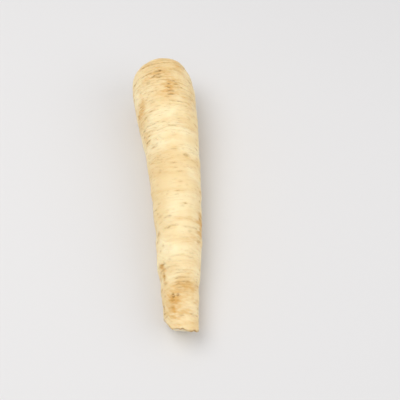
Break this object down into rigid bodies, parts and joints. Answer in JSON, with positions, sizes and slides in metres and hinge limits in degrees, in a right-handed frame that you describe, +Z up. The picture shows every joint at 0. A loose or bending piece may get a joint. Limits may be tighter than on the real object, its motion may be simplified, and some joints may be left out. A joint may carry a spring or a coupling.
{
  "type": "parsley root",
  "caption": "Whole trimmed parsley root lying on its side: a pale, wrinkled, gently bent taproot that tapers from a domed crown to a slanted cut tail.",
  "frame": {"origin": "middle of the footprint, on the surface that the root lies on", "axes": "+Z up, +Y along the root from the cut tail to the crown"},
  "size_m": [0.0412, 0.1922, 0.0396],
  "materials": {
    "root_skin": "satin, cream skin with fine transverse wrinkles and brown flecks"
  },
  "bodies": {
    "root": {"parsley_root": "root_skin"}
  },
  "joints": []
}
